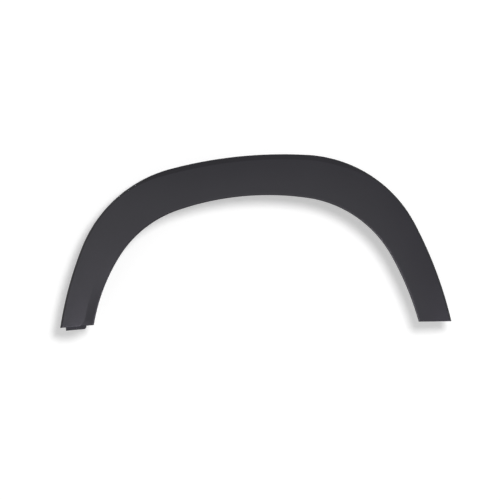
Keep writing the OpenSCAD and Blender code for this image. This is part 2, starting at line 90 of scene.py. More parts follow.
# Return flange
FLANGE_T = 2.5
FLANGE_BACK = 9.0
FLANGE_LEAN = 2.0

# Feet: the stretch over which the sections turn into line with a foot's cut, and how the ends
# of the wall are rounded on the show side and inside
SKEW_L = 95.0
SKIN_END_R = 1.3
END_R = 0.45

# Chamfer of the left leg, and how it widens at the foot
STRIP_W = 24.0
STRIP_DROP = 7.0
STRIP_L = 190.0
STRIP_FLARE = 12.0
STRIP_FLARE_L = 14.0
STRIP_SOFT = 0.045

# Tongue of the left foot
TONGUE_L = 7.5
TONGUE_W = 48.0
TONGUE_FROM_CORNER = 13.5
TONGUE_T = 2.0
TONGUE_ROOT = 16.0
TONGUE_BEVEL = 4.0
TONGUE_BITE = 1.0
TONGUE_R = 0.4
TONGUE_ROOT_R = 0.1

# Clips: head, neck, collar, shank, barbs and tip
CLIP_COUNT = 10
CLIP_MARGIN = 50.0
CLIP_FROM_OUTER = 36.0
CLIP_CORNER_R = 0.15
HEAD_R = 8.0
HEAD_T = 1.6
HEAD_CHAMFER = 0.8
NECK_R = 3.5
NECK_GAP = 0.2
COLLAR_R = 9.0
COLLAR_T = 1.5
COLLAR_RIM_T = 0.7
COLLAR_TAPER = 1.5
SHANK_R = 3.9
SHANK_L = 1.4
CORE_R = 2.4
BARB_COUNT = 4
BARB_PITCH = 3.0
BARB_R = 4.7
BARB_FLAT = 3.3
BARB_FOOT = 0.4
BARB_EDGE = (0.9, 1.3)
TIP_L = 3.5
TIP_R = 1.2

# Sealing rings
SEAL_T = 4.0
SEAL_R = 11.0
SEAL_GAP = 0.2
SEAL_WAIST = 0.3

# Clip towers: three walls and a plate with a slot, which the clip's neck sits in. The plate's
# faces keep off the walls' own by PLATE_STEP in height and PLATE_SET at the open side
TOWER_L = 27.0
TOWER_W = 24.0
TOWER_T = 1.8
TOWER_OUTER_R = 1.5
TOWER_INNER_R = 0.8
TOWER_END_R = 0.5
PLATE_T = 2.2
PLATE_STEP = 0.05
PLATE_SET = 0.3
MOUTH_L = 3.0
MOUTH_FLARE = 2.0
PLATE_H = SEAL_T + COLLAR_T
HEAD_H = PLATE_H + PLATE_T

# Locating pins
PIN_R = 3.0
PIN_L = 10.0
PIN_TIP_L = 3.0
PIN_TIP_R = 1.8
PIN_BOSS_R = 5.0
PIN_GUSSET_L = 13.0
BOSS_FREE = 3.0

# Screw holes of the return flange
SCREW_COUNT = 5
SCREW_MARGIN = 76.0
SCREW_R = 2.6
SCREW_PAD_R = 7.0
SCREW_PAD_T = 5.0
SCREW_SEAT = 0.6
SCREW_RIM = 1.0
SCREW_H = 6.0
BORE_CHAMFER = 0.3

# Ribs: gussets behind the opening's edge, brackets behind the lip, and the walls in the feet
RIB_T = 1.6
RIB_FOOT = 3.0
RIB_TOE = 1.0
RIB_R = 0.25
RIB_CORNER_R = 0.5
GUSSET_COUNT = 3
GUSSET_W = 17.0
GUSSET_H = 4.0
GUSSET_SET = 3.0
BRACKET_H = 3.0
BRACKET_W = 15.0
END_WALL_T = 2.4
END_WALL_SET = 1.2
END_WALL_GAP = 1.0

# Rounding of the turned shapes, how deep one shape sits in another, and how far a cut runs past
TURNED_R = 0.4
BITE = 1.2
OVER = 0.5

# Points of a wall's section: steps of the rounded corners, shares of a straight stretch at
# which it has points, distances from the chamfer's crease, and the room that the crease, crest
# and edge keep. The rounded edge takes its direction from the face at NEAR_EDGE
RIM_STEPS = 3
CREST_STEPS = 6
EDGE_STEPS = 10
STRAIGHT_SHARES = np.array([0.08, 0.3, 0.5, 0.7, 0.92])
CREASE_POINTS = np.array([2.6, 1.7, 0.9, 0, -0.9, -1.7, -2.6])
CREASE_ROOM = 4.0
CREST_ROOM = 2.0
EDGE_ROOM = 5.5
NEAR_EDGE = 12.0
FACE_POINTS = 20
STRIP_POINTS = 8

# The flange's points up to the middle of the rounded edge, where the grain ends, and the points
# over which the rounding of the ends grows from the wall's rims to the show side
FLANGE_COLUMNS = RIM_STEPS + len(STRAIGHT_SHARES) + EDGE_STEPS // 2
RIM_COLUMNS = 14

# Sections along the trim: at a foot's rounded end, close to it, and along the rest
END_ANGLES = np.radians([0, 15, 30, 45, 60, 75, 90])
FOOT_PLACES = np.array([2.0, 3.5, 5.5, 7.5, 9.5, 11.5, 14.0])
STEP_L = 5.0

# How fine the other surfaces are, and the angles in degrees past which a crease is sharp
RIM_ANGLES = np.radians([0, 30, 60, 90])
TURN_STEPS = 48
SMALL_TURN_STEPS = 64
SLOT_STEPS = 24
RING_POINTS = 9
END_WALL_STRIP_POINTS = 6
END_WALL_FACE_POINTS = 10
BEVEL_POINTS = 4
TONGUE_POINTS = 14
TONGUE_MARGIN = 2.0
MOULDING_SHARP = 32
SMALL_SHARP = 40

# An arc takes at most this share of the shorter side beside it
CORNER_SHARE = 0.45

# Searching by halves: how often, and how far to each side
HALVINGS = 40
SEARCH_L = 150.0

# Sizes of the materials' patterns, as drawn, and the lowest and highest roughness
CLOUD_SIZE = 90.0
GRAIN_SIZE = 1.2
FLOW_SIZE = 4.0
CELL_SIZE = 0.9
GRAINED_ROUGHNESS = (0.32, 0.36)
PLAIN_ROUGHNESS = (0.76, 0.84)
NYLON_ROUGHNESS = (0.33, 0.45)

# Studio, in metres: a wall close behind the trim, a floor, and how much each glows
WALL_Y = 0.074
WALL_HALF_W = 1.3
WALL_TOP = 2.6
FLOOR_Z = -0.88
FLOOR_FRONT = -3.2
WALL_GLOW = 0.32
FLOOR_GLOW = 0.6
STAGE_PAINT = (0.8, 0.8, 0.8, 1)

# Light of the room: as it falls, as it is mirrored, and the bright panel in it. The panel's
# edge and middle are cosines of the angle to its direction
DAYLIGHT = 0.42
ROOM_LEVEL = 0.14
PANEL_LEVEL = 0.74
PANEL_DIRECTION = (-0.484, -0.753, -0.445)
PANEL_EDGE = 0.434
PANEL_MIDDLE = 0.79

# The point that the soft boxes turn to, and the colour of the cool ones
LAMP_TARGET = (0, 0, -0.17)
COOL_WHITE = (1.0, 0.95, 1.14)

# Camera, in metres but for the sensor: how wide the picture is at the trim, and its middle
SENSOR_W = 36.0
FRAME_W = 1.1625
FRAME_X = -0.0135
FRAME_Z = -0.1744
CAMERA_AWAY = 20.0


def ease(x):
    """Smooth step: t^2 (3 - 2 t), with t = x held between 0 and 1."""
    t = np.clip(x, 0, 1)
    return t * t * (3 - 2 * t)


def blend(a, b, t):
    """The point at the share t of the way from a to b."""
    return a + (b - a) * t


def unit(v):
    """Vectors at length 1."""
    return v / np.linalg.norm(v, axis=-1, keepdims=True)


def cross2(a, b):
    """Cross product of plane vectors."""
    return a[..., 0] * b[..., 1] - a[..., 1] * b[..., 0]


def turned(v, angle):
    """Plane vectors turned to the left by an angle."""
    c, s = np.cos(angle), np.sin(angle)
    return np.stack([v[..., 0] * c - v[..., 1] * s, v[..., 0] * s + v[..., 1] * c], -1)


def pairs(v, h):
    """Points of (v, h) from two arrays."""
    return np.stack(np.broadcast_arrays(v, h), -1)


# The band between the two edges

def arc_move(r, h, a):
    """Step along an arc of radius r that sets off at the heading h and turns right by a:
    r times (sin h - sin(h - a), cos(h - a) - cos h)."""
    x = r * (np.sin(h) - np.sin(h - a))
    z = r * (np.cos(h - a) - np.cos(h))
    return np.stack([x, z], -1)


class Edge:
    """One edge of the band: a chain of tangent arcs, stretched along X to its span and along Z
    to the height of its crown. Each arc has a radius, a heading at which it sets off, the
    distance along the chain at which it starts, and its first point."""

    def __init__(self, heading, radii, turns, start, span, top):
        """An arc sets off at the first heading less the turns before it, from the sum of the
        moves before it. The crown is the highest point of all arcs, where one turns level."""
        turns = np.radians(turns)
        self.radii = np.array(radii, float)
        self.headings = np.radians(heading) - np.cumsum(turns) + turns
        lengths = self.radii * turns
        self.distances = np.cumsum(lengths) - lengths
        self.length = float(lengths.sum())
        moves = arc_move(self.radii, self.headings, turns)
        self.points = np.cumsum(moves, 0) - moves
        end = self.points[-1] + moves[-1]
        first, last = np.maximum(self.headings, 0), np.maximum(self.headings - turns, 0)
        crown = np.max(self.points[:, 1] + self.radii * (np.cos(last) - np.cos(first)))
        self.start = np.array(start, float)
        self.stretch = np.array([span / end[0], (top - start[1]) / crown])

    def arc(self, s):
        """The arc that holds the distance s, and how far it has turned there. The first and
        last arcs run on past the feet."""
        k = np.searchsorted(self.distances, s, side="right") - 1
        k = np.clip(k, 0, len(self.distances) - 1)
        return k, (s - self.distances[k]) / self.radii[k]

    def point(self, s):
        """Start + stretch times (the arc's first point + its move)."""
        k, a = self.arc(s)
        move = arc_move(self.radii[k], self.headings[k], a)
        return self.start + self.stretch * (self.points[k] + move)

    def along(self, s):
        """Direction of the edge: (cos, sin) of the heading less the turn, stretched."""
        k, a = self.arc(s)
        heading = self.headings[k] - a
        return unit(self.stretch * np.stack([np.cos(heading), np.sin(heading)], -1))


OUTER = Edge(OUTER_HEADING, OUTER_RADII, OUTER_TURNS,
             (-ARCH_L / 2, LEFT_OUTER_Z), ARCH_L, OUTER_CROWN_Z)
OPENING = Edge(OPENING_HEADING, OPENING_RADII, OPENING_TURNS,
               (-ARCH_L / 2 + LEFT_FOOT_W, LEFT_INNER_Z),
               ARCH_L - LEFT_FOOT_W - RIGHT_FOOT_W, OPENING_CROWN_Z)


def foot_skew(s_in, s_out):
    """Angle from the opening's normal to the straight cut of a foot."""
    normal = turned(OPENING.along(s_in), np.pi / 2)
    cut = OUTER.point(s_out) - OPENING.point(s_in)
    return np.arctan2(cross2(normal, cut), np.sum(normal * cut, -1))


LEFT_SKEW = foot_skew(0.0, 0.0)
RIGHT_SKEW = foot_skew(OPENING.length, OUTER.length)


def across_at(s):
    """Direction across the band: the opening's normal, turned into line with the cut of a foot
    over the last stretch of each leg."""
    skew = LEFT_SKEW * ease(1 - s / SKEW_L) + RIGHT_SKEW * ease(1 - (OPENING.length - s) / SKEW_L)
    return turned(OPENING.along(s), np.pi / 2 + skew)


class Band:
    """Sections across the band at the distances s along the opening's edge. In a section v is
    the distance from that edge and h the height above the body. The width is where the section
    meets the outer edge, found by halving."""

    def __init__(self, s):
        """The lip narrows to each leg in a smooth step, and the chamfer's drop fades in one up
        the left leg. At the foot the chamfer widens with the square of the distance."""
        s = np.atleast_1d(np.asarray(s, float))
        self.at = OPENING.point(s)
        self.across = across_at(s)
        self.along = np.stack([self.across[:, 1], -self.across[:, 0]], -1)
        lo = s * OUTER.length / OPENING.length - SEARCH_L
        hi = lo + 2 * SEARCH_L
        for _ in range(HALVINGS):
            middle = (lo + hi) / 2
            ahead = cross2(self.across, OUTER.point(middle) - self.at) > 0
            lo = np.where(ahead, middle, lo)
            hi = np.where(ahead, hi, middle)
        outer = OUTER.point((lo + hi) / 2)
        self.s = s[:, None]
        self.width = np.linalg.norm(outer - self.at, axis=1)[:, None]
        x = outer[:, :1]
        left = ease((x - LIP_LEFT_X[0]) / (LIP_LEFT_X[1] - LIP_LEFT_X[0]))
        right = ease((LIP_RIGHT_X[1] - x) / (LIP_RIGHT_X[1] - LIP_RIGHT_X[0]))
        self.lip = blend(LIP_LEG_W, LIP_W, left * right)
        self.crest_v = self.width - self.lip
        self.strip_w = STRIP_W + STRIP_FLARE * np.maximum(1 - self.s / STRIP_FLARE_L, 0) ** 2
        self.drop = STRIP_DROP * ease(1 - self.s / STRIP_L)

    def face(self, v):
        """Height of the show face: a line from the crest line to the opening's edge, with a
        parabola's bulge, less the chamfer, which falls evenly over the strip's width. Its
        crease is rounded: the ramp x becomes (x + sqrt(x^2 + soft^2)) / 2."""
        q = 1 - v / self.crest_v
        x = 1 - v / self.strip_w
        ramp = (x + np.sqrt(x * x + STRIP_SOFT ** 2)) / 2
        return blend(CREST_H, FACE_H, q) + FACE_BULGE * 4 * q * (1 - q) - self.drop * ramp

    def root(self, v):
        """Height at which the root of a rib ends, inside the face's wall."""
        return self.face(v) - BITE

    def flange_v(self, h):
        """The return flange leans: its outer face is at 0 at the top and at the full lean at
        the free edge."""
        top = self.face(0.0)
        return FLANGE_LEAN * (top - h) / (top + FLANGE_BACK)

    def lip_v(self, h):
        """The lip's outer face: the full width at the body, less the lip at the crest line."""
        return self.width - self.lip * h / CREST_H

    def column(self, v, h):
        """One point of each section."""
        return pairs(*np.broadcast_arrays(v, h, self.s)[:2])[:, 0]

    def world(self, v, h, z=0.0):
        """Points in space, in metres: v across the band, h off the body, and z along the
        trim."""
        v, h, z = np.broadcast_arrays(v, h, z, self.s)[:3]
        across = self.across[:, None] * v[..., None]
        flat = self.at[:, None] + across + self.along[:, None] * z[..., None]
        return np.stack([flat[..., 0], -h, flat[..., 1]], -1) * MM


# Outlines, and closed solids as (points, arrays of faces)

def corner(a, b, c, r, steps):
    """A rounded corner at b between a and c: the arc of radius r that touches both lines. Its
    points are means of its ends and b, with the weights (1 - f)^2, f^2 and
    2 f (1 - f) cos(half the turn)."""
    to_a, to_c = a - b, c - b
    shorter = np.minimum(np.linalg.norm(to_a, axis=-1), np.linalg.norm(to_c, axis=-1))
    u, w = unit(to_a), unit(to_c)
    half = (np.pi - np.arccos(np.clip(np.sum(u * w, -1), -1, 1))) / 2
    reach = np.minimum(r * np.tan(half), CORNER_SHARE * shorter)[..., None]
    p, q = b + u * reach, b + w * reach
    f = np.linspace(0, 1, steps + 1)[:, None]
    near, far = (1 - f) ** 2, f ** 2
    middle = 2 * f * (1 - f) * np.cos(half)[..., None, None]
    total = near + far + middle
    return (near * p[..., None, :] + far * q[..., None, :] + middle * b[..., None, :]) / total


def rounded(outline, r):
    """A closed outline with every corner rounded. r is one radius or one for each corner."""
    outline = np.asarray(outline, float)
    arcs = corner(np.roll(outline, 1, 0), outline, np.roll(outline, -1, 0), r, RIM_STEPS)
    return arcs.reshape(-1, 2)


def smooth_line(points, r):
    """An open profile with its inner corners rounded."""
    points = np.asarray(points, float)
    arcs = corner(points[:-2], points[1:-1], points[2:], r, RIM_STEPS)
    return np.vstack([points[:1], arcs.reshape(-1, 2), points[-1:]])


def inset(outline, e):
    """A closed outline moved inwards by e: each point goes back along the sum of its two
    edges' outward normals, divided by 1 plus their product."""
    ahead = unit(np.roll(outline, -1, 0) - outline)
    area = np.sum(cross2(outline, np.roll(outline, -1, 0)))
    after = np.stack([ahead[:, 1], -ahead[:, 0]], -1) * np.sign(area)
    before = np.roll(after, 1, 0)
    return outline - e * (before + after) / (1 + np.sum(before * after, -1, keepdims=True))


def side_faces(rows, length):
    """Quads between neighbouring rows of points, where each row closes on itself."""
    i = np.arange(rows - 1)[:, None] * length
    j = np.arange(length)[None]
    k = (j + 1) % length
    return np.stack([i + j, i + k, i + length + k, i + length + j], -1).reshape(-1, 4)


def slab(outline, lo, hi, rim_lo=RIB_R, rim_hi=RIB_R):
    """A closed outline carried from the level lo to hi, with rounded rims. At the angle a of a
    rim of radius e, the ring is e (1 - cos a) from the end and e (1 - sin a) inside the
    outline. Gives the rings as (across, up, level)."""
    rings = []
    for level, rim, sign in ((lo, rim_lo, 1), (hi, rim_hi, -1)):
        angles = RIM_ANGLES if rim else RIM_ANGLES[-1:]
        for a in angles[::sign]:
            flat = inset(outline, rim * (1 - np.sin(a))) if rim else outline
            height = level + sign * rim * (1 - np.cos(a)) + np.zeros(len(flat))
            rings.append(np.column_stack([flat, height]))
    return np.array(rings)


def filled(rings):
    """A closed solid from rings of points that lie side by side."""
    rows, length = rings.shape[:2]
    cap = np.arange(length)
    caps = np.stack([cap, cap + (rows - 1) * length])
    return rings.reshape(-1, 3), [side_faces(rows, length), caps]


def lathe(profile, steps=TURN_STEPS, flat=None, flat_below=0.0):
    """A profile of (radius, height) turned about its axis, on which it starts and ends. Below a
    given height two flats cut it: the radius is at most flat / |cos angle|. The solid's points
    are (across, along, height)."""
    profile = np.asarray(profile, float)
    turn = np.linspace(0, 2 * np.pi, steps, endpoint=False)
    r = np.repeat(profile[1:-1, :1], steps, 1)
    h = np.repeat(profile[1:-1, 1:], steps, 1)
    if flat:
        limit = flat / np.maximum(np.abs(np.cos(turn)), np.finfo(float).eps)
        r = np.where(h < flat_below, np.minimum(r, limit), r)
    rings = np.stack([r * np.cos(turn), r * np.sin(turn), h], -1)
    rows = len(rings)
    points = np.vstack([rings.reshape(-1, 3), [[0, 0, profile[0, 1]], [0, 0, profile[-1, 1]]]])
    j = np.arange(steps)
    k = (j + 1) % steps
    last = (rows - 1) * steps
    first_pole = np.stack([k, j, np.full(steps, rows * steps)], -1)
    last_pole = np.stack([last + j, last + k, np.full(steps, rows * steps + 1)], -1)
    return points, [side_faces(rows, steps), np.vstack([first_pole, last_pole])]


def make_object(name, solids, materials, slots=0):
    """One mesh of closed solids, with every face turned outwards and shaded smooth. A solid's
    faces come in arrays, one for each number of corners. slots says which material each face
    takes, or all of them."""
    points, faces, count = [], [], 0
    for solid_points, solid_faces in solids:
        points.append(solid_points)
        for group in solid_faces:
            faces += (group + count).tolist()
        count += len(solid_points)
    mesh = bpy.data.meshes.new(name)
    mesh.from_pydata(np.vstack(points), [], faces)
    for material in materials:
        mesh.materials.append(material)
    mesh.polygons.foreach_set("material_index", np.full(len(faces), slots))
    shape = bmesh.new()
    shape.from_mesh(mesh)
    bmesh.ops.recalc_face_normals(shape, faces=shape.faces)
    shape.to_mesh(mesh)
    shape.free()
    mesh.shade_smooth()
    piece = bpy.data.objects.new(name, mesh)
    bpy.context.scene.collection.objects.link(piece)
    return piece


def combine(piece, solids, materials, operation):
    """Joins solids to a piece, or cuts them from it. The solids of one call lie apart, and
    their faces take the second material."""
    tool = make_object("tool", solids, materials, 1)
    modifier = piece.modifiers.new("combine", "BOOLEAN")
    modifier.operation = operation
    modifier.solver = "MANIFOLD"
    modifier.object = tool
    graph = bpy.context.evaluated_depsgraph_get()
    result = bpy.data.meshes.new_from_object(piece.evaluated_get(graph))
    piece.modifiers.remove(modifier)
    old = piece.data
    piece.data = result
    bpy.data.meshes.remove(old)
    bpy.data.meshes.remove(tool.data)


# Materials

def linear(code):
    """An sRGB hex colour as linear RGBA: c / 12.92 below 0.04045, else ((c + 0.055) / 1.055)
    to the power 2.4."""
    c = np.array([int(code[i:i + 2], 16) for i in (1, 3, 5)]) / 255
    rgb = np.where(c <= 0.04045, c / 12.92, ((c + 0.055) / 1.055) ** 2.4)
    return (*rgb.tolist(), 1.0)


def per_metre(size):
    """Scale of a texture whose features have this size: 1 / size in metres."""
    return 1 / (size * MM)


def add(tree, kind, sockets=None, **settings):
    """Adds a node. Settings are its own, and a socket takes a value or another node's output."""
    node = tree.nodes.new(kind)
    for name, value in settings.items():
        setattr(node, name, value)
    for name, value in (sockets or {}).items():
        if isinstance(value, bpy.types.NodeSocket):
            tree.links.new(value, node.inputs[name])
        else:
            node.inputs[name].default_value = value
    return node


def new_material(name):
    """An empty node material, and its tree."""
    material = bpy.data.materials.new(name)
    material.use_nodes = True
    material.node_tree.nodes.clear()
    return material, material.node_tree


def polypropylene(name, roughness, grain):
    """Black polypropylene, injection moulded: a deep black that carbon black gives all the way
    through, under a satin skin that mirrors the studio as a soft grey sheen. The show side is
    etched with a fine grain. The rest is plain and dull, as unpolished steel moulds it."""
    material, tree = new_material(name)
    place = add(tree, "ShaderNodeTexCoord").outputs["Object"]
    # The skin froze a little unevenly, in cloudy patches
    cloud = add(tree, "ShaderNodeTexNoise", {
        "Vector": place, "Scale": per_metre(CLOUD_SIZE), "Detail": 3.0, "Roughness": 0.5
        }).outputs["Fac"]
    # The real etched grain is about 0.4 mm: too fine to show, so it is drawn three times as coarse
    pits = add(tree, "ShaderNodeTexNoise", {
        "Vector": place, "Scale": per_metre(GRAIN_SIZE), "Detail": 2.0, "Roughness": 0.6
        }).outputs["Fac"]
    colour = add(tree, "ShaderNodeMix", {
        "Factor": cloud, "A": linear("#2c2b30"), "B": linear("#302f34")}, data_type="RGBA")
    gloss = add(tree, "ShaderNodeMapRange", {
        "Value": cloud, "To Min": roughness[0], "To Max": roughness[1]})
    sockets = {"Base Color": colour.outputs["Result"], "Roughness": gloss.outputs["Result"],
               "IOR": 1.49}
    if grain:
        bump = add(tree, "ShaderNodeBump", {"Height": pits, "Strength": 0.2, "Distance": 0.0002})
        sockets["Normal"] = bump.outputs["Normal"]
    shader = add(tree, "ShaderNodeBsdfPrincipled", sockets)
    add(tree, "ShaderNodeOutputMaterial", {"Surface": shader.outputs["BSDF"]})
    return material


def natural_nylon():
    """Natural nylon, injection moulded: a milky, slightly warm white that lets a little light
    into its thin barbs, with a smooth skin."""
    material, tree = new_material("natural_nylon")
    place = add(tree, "ShaderNodeTexCoord").outputs["Object"]
    # Flow marks of the melt
    flow = add(tree, "ShaderNodeTexNoise", {
        "Vector": place, "Scale": per_metre(FLOW_SIZE), "Detail": 2.0}).outputs["Fac"]
    colour = add(tree, "ShaderNodeMix", {
        "Factor": flow, "A": linear("#d6d1c0"), "B": linear("#e2dfd2")}, data_type="RGBA")
    gloss = add(tree, "ShaderNodeMapRange", {
        "Value": flow, "To Min": NYLON_ROUGHNESS[0], "To Max": NYLON_ROUGHNESS[1]})
    shader = add(tree, "ShaderNodeBsdfPrincipled", {
        "Base Color": colour.outputs["Result"], "Roughness": gloss.outputs["Result"],
        "IOR": 1.53, "Subsurface Weight": 0.15, "Subsurface Radius": (0.002, 0.0018, 0.0014),
        "Subsurface Scale": 1.0})
    add(tree, "ShaderNodeOutputMaterial", {"Surface": shader.outputs["BSDF"]})
    return material


def grey_foam():
    """Closed-cell rubber foam, cut from a sheet: dark grey and dull, its cut cells are small
    open cups that hold shade. That shade is painted: the colour darkens towards each cell's
    middle, where the cup is deepest."""
    material, tree = new_material("closed_cell_foam")
    place = add(tree, "ShaderNodeTexCoord").outputs["Object"]
    # The real cells are about 0.3 mm: too fine to show, so they are drawn three times as coarse
    cells = add(tree, "ShaderNodeTexVoronoi", {
        "Vector": place, "Scale": per_metre(CELL_SIZE)}, feature="F1").outputs["Distance"]
    # Painted shade in the cups: the colour is darkest at each cell's middle, where the bump sinks
    # deepest, and lighter towards its rim
    colour = add(tree, "ShaderNodeMix", {
        "Factor": cells, "A": linear("#46484d"), "B": linear("#5c5f64")}, data_type="RGBA")
    bump = add(tree, "ShaderNodeBump", {"Height": cells, "Strength": 0.6, "Distance": 0.0004})
    shader = add(tree, "ShaderNodeBsdfPrincipled", {
        "Base Color": colour.outputs["Result"], "Roughness": 0.88, "IOR": 1.5,
        "Normal": bump.outputs["Normal"]})
    add(tree, "ShaderNodeOutputMaterial", {"Surface": shader.outputs["BSDF"]})
    return material


GRAINED = polypropylene("black_polypropylene_grained", GRAINED_ROUGHNESS, True)
PLAIN = polypropylene("black_polypropylene_plain", PLAIN_ROUGHNESS, False)
NYLON = natural_nylon()
FOAM = grey_foam()


# The moulding's wall

def wall_rows(band):
    """The two sides of the wall in each section, as rows that run side by side from the foot of
    the lip over the crest line and the face to the free edge of the return flange."""
    foot = band.column(band.width, 0)
    crest = band.column(band.crest_v, CREST_H)
    edge = band.column(0, band.face(0.0))
    free = band.column(FLANGE_LEAN, -FLANGE_BACK)
    foot_in = foot - [LIP_T, 0]
    crest_in_h = CREST_H - WALL_T
    crest_in_v = band.lip_v(crest_in_h) - LIP_T
    crest_in = band.column(crest_in_v, crest_in_h)
    edge_in_h = band.face(FLANGE_T) - WALL_T
    edge_in = band.column(band.flange_v(edge_in_h) + FLANGE_T, edge_in_h)
    free_in = free + [FLANGE_T, 0]

    def straight(a, b):
        """Points on the line from a to b."""
        return a[:, None] + (b - a)[:, None] * STRAIGHT_SHARES[:, None]

    def face_row(start, drop):
        """The face from v = start to the rounded edge, lowered by drop."""
        v = np.hstack([
            blend(start, band.strip_w + CREASE_ROOM, np.linspace(0, 1, FACE_POINTS)),
            band.strip_w + CREASE_POINTS,
            blend(band.strip_w - CREASE_ROOM, EDGE_ROOM, np.linspace(0, 1, STRIP_POINTS))])
        return pairs(v, band.face(v) - drop)

    skin_face = face_row(band.crest_v - CREST_ROOM, 0)
    inside_face = face_row(crest_in_v - CREST_ROOM, WALL_T)
    near_edge = band.column(NEAR_EDGE, band.face(NEAR_EDGE))
    skin = np.concatenate([
        corner((foot + foot_in) / 2, foot, crest, RIM_R, RIM_STEPS),
        straight(foot, crest),
        corner(foot, crest, skin_face[:, 0], CREST_R, CREST_STEPS),
        skin_face,
        corner(near_edge, edge, free, EDGE_R, EDGE_STEPS),
        straight(edge, free)[:, 1:],
        corner(edge, free, (free + free_in) / 2, RIM_R, RIM_STEPS)], 1)
    inside = np.concatenate([
        corner((foot + foot_in) / 2, foot_in, crest_in, RIM_R, RIM_STEPS),
        straight(foot_in, crest_in),
        corner(foot_in, crest_in, inside_face[:, 0], CREST_INNER_R, CREST_STEPS),
        inside_face,
        corner(inside_face[:, -1], edge_in, free_in, EDGE_INNER_R, EDGE_STEPS),
        straight(edge_in, free_in)[:, 1:],
        corner(edge_in, free_in, (free + free_in) / 2, RIM_R, RIM_STEPS)], 1)
    return skin, inside


def section_places():
    """Distances of the wall's sections along the opening's edge. In a rounded end they lie
    r (1 - cos a) from the end, with r the rounding of the show side."""
    length = OPENING.length
    end = SKIN_END_R * (1 - np.cos(END_ANGLES))
    near = np.concatenate([end, FOOT_PLACES])
    count = int(np.ceil((length - 2 * near[-1]) / STEP_L))
    middle = np.linspace(near[-1], length - near[-1], count + 1)[1:-1]
    return np.concatenate([near, middle, length - near[::-1]])


def rounded_ends(outline, s):
    """The wall's outlines, drawn in at the ends of the feet: at the distance x from the end, a
    rim of radius r lies r - sqrt(r^2 - (r - x)^2) inside the outline. The radius is SKIN_END_R
    on the show side, and falls to END_R at the wall's rims and inside."""
    ahead = np.roll(outline, -1, 1) - np.roll(outline, 1, 1)
    normal = unit(np.stack([ahead[..., 1], -ahead[..., 0]], -1))
    column = np.arange(outline.shape[1] // 2)
    from_rim = np.minimum(column, column[::-1]) / RIM_COLUMNS
    skin_r = blend(END_R, SKIN_END_R, ease(from_rim))
    r = np.concatenate([skin_r, np.full(len(column), END_R)])
    x = np.minimum(np.minimum(s, OPENING.length - s)[:, None], r)
    return outline - normal * (r - np.sqrt(r * r - (r - x) ** 2))[..., None]


def wall_solid():
    """The wall as one closed solid: its section is carried from foot to foot, and its ends are
    strips between the two rows. Gives each face's material too: the grain covers the show side
    up to the return flange."""
    s = section_places()
    band = Band(s)
    skin, inside = wall_rows(band)
    outline = rounded_ends(np.concatenate([skin, inside[:, ::-1]], 1), s)
    points = band.world(outline[..., 0], outline[..., 1])
    rows, size = points.shape[:2]
    columns = size // 2 - 1
    faces = side_faces(rows, size)
    slots = np.where(faces[:, 0] % size < columns - FLANGE_COLUMNS, 0, 1)
    j = np.arange(columns)
    end = np.stack([j, j + 1, size - 2 - j, size - 1 - j], -1)
    faces = np.vstack([faces, end, end + (rows - 1) * size])
    slots = np.concatenate([slots, np.ones(2 * columns, int)])
    return (points.reshape(-1, 3), [faces]), slots


# What the moulding carries behind its face

CLIP_S = np.linspace(CLIP_MARGIN, OPENING.length - CLIP_MARGIN, CLIP_COUNT)
BETWEEN_CLIPS_S = (CLIP_S[:-1] + CLIP_S[1:]) / 2
SCREW_S = np.linspace(SCREW_MARGIN, OPENING.length - SCREW_MARGIN, SCREW_COUNT)


def gusset_places():
    """Gussets lie evenly between each two clips, and clear of the screws' pads."""
    span = np.diff(CLIP_S)[0]
    shares = (np.arange(GUSSET_COUNT) + 0.5) / GUSSET_COUNT
    s = (CLIP_S[:-1, None] + span * shares).ravel()
    return s[np.abs(s[:, None] - SCREW_S).min(1) > SCREW_PAD_R + GUSSET_SET]


def in_section(band, v, h, z):
    """Points of one section in space, from v across, h off the body and z along the trim."""
    return band.world(v.reshape(1, -1), h.reshape(1, -1), z.reshape(1, -1))[0]


def carried(band, rings, axes="vhz"):
    """A closed solid from rings of points. axes names their three numbers in order."""
    v, h, z = (rings[..., axes.index(axis)] for axis in "vhz")
    return filled(in_section(band, v, h, z).reshape(rings.shape))


def rib(band, outline):
    """A flat rib across the band, from its outline of (v, h)."""
    return carried(band, slab(rounded(outline, RIB_CORNER_R), -RIB_T / 2, RIB_T / 2))


def clip_place(s):
    """The section at s, and how far across it a clip or pin stands."""
    band = Band(s)
    return band, float(band.width[0, 0]) - CLIP_FROM_OUTER


def tower_walls(s):
    """Three walls of a clip tower, as one U in plan that is open to the outer side. They rise
    from the plate to the face."""
    band, v = clip_place(s)
    lo, hi = v - TOWER_W / 2, v + TOWER_W / 2
    z, t = TOWER_L / 2, TOWER_T
    outer, inner, end = TOWER_OUTER_R, TOWER_INNER_R, TOWER_END_R
    plan = rounded([[hi, -z], [lo, -z], [lo, z], [hi, z],
                    [hi, z - t], [lo + t, z - t], [lo + t, t - z], [hi, t - z]],
                   np.array([end, outer, outer, end, end, inner, inner, end]))
    top = band.root(plan[:, 0][None])[0]
    return carried(band, slab(plan, PLATE_H, top, RIB_R, 0), "vzh")


def tower_plate(s):
    """The plate of a clip tower, with the keyhole slot that the clip's neck slides into from
    the outer side. Its edges end inside the walls."""
    band, v = clip_place(s)
    lo = v - TOWER_W / 2 + TOWER_T / 2
    hi = v + TOWER_W / 2 - PLATE_SET
    z = (TOWER_L - TOWER_T) / 2
    half = NECK_R + NECK_GAP
    turn = np.radians(np.linspace(270, 90, SLOT_STEPS + 1))
    slot = np.stack([v + half * np.cos(turn), half * np.sin(turn)], -1)
    mouth = np.array([[hi, -half - MOUTH_FLARE], [hi - MOUTH_L, -half]])
    plan = np.vstack([[[lo, -z], [hi, -z]], mouth, slot, mouth[::-1] * [1, -1],
                      [[hi, z], [lo, z]]])
    return carried(band, slab(plan, PLATE_H + PLATE_STEP, HEAD_H), "vzh")


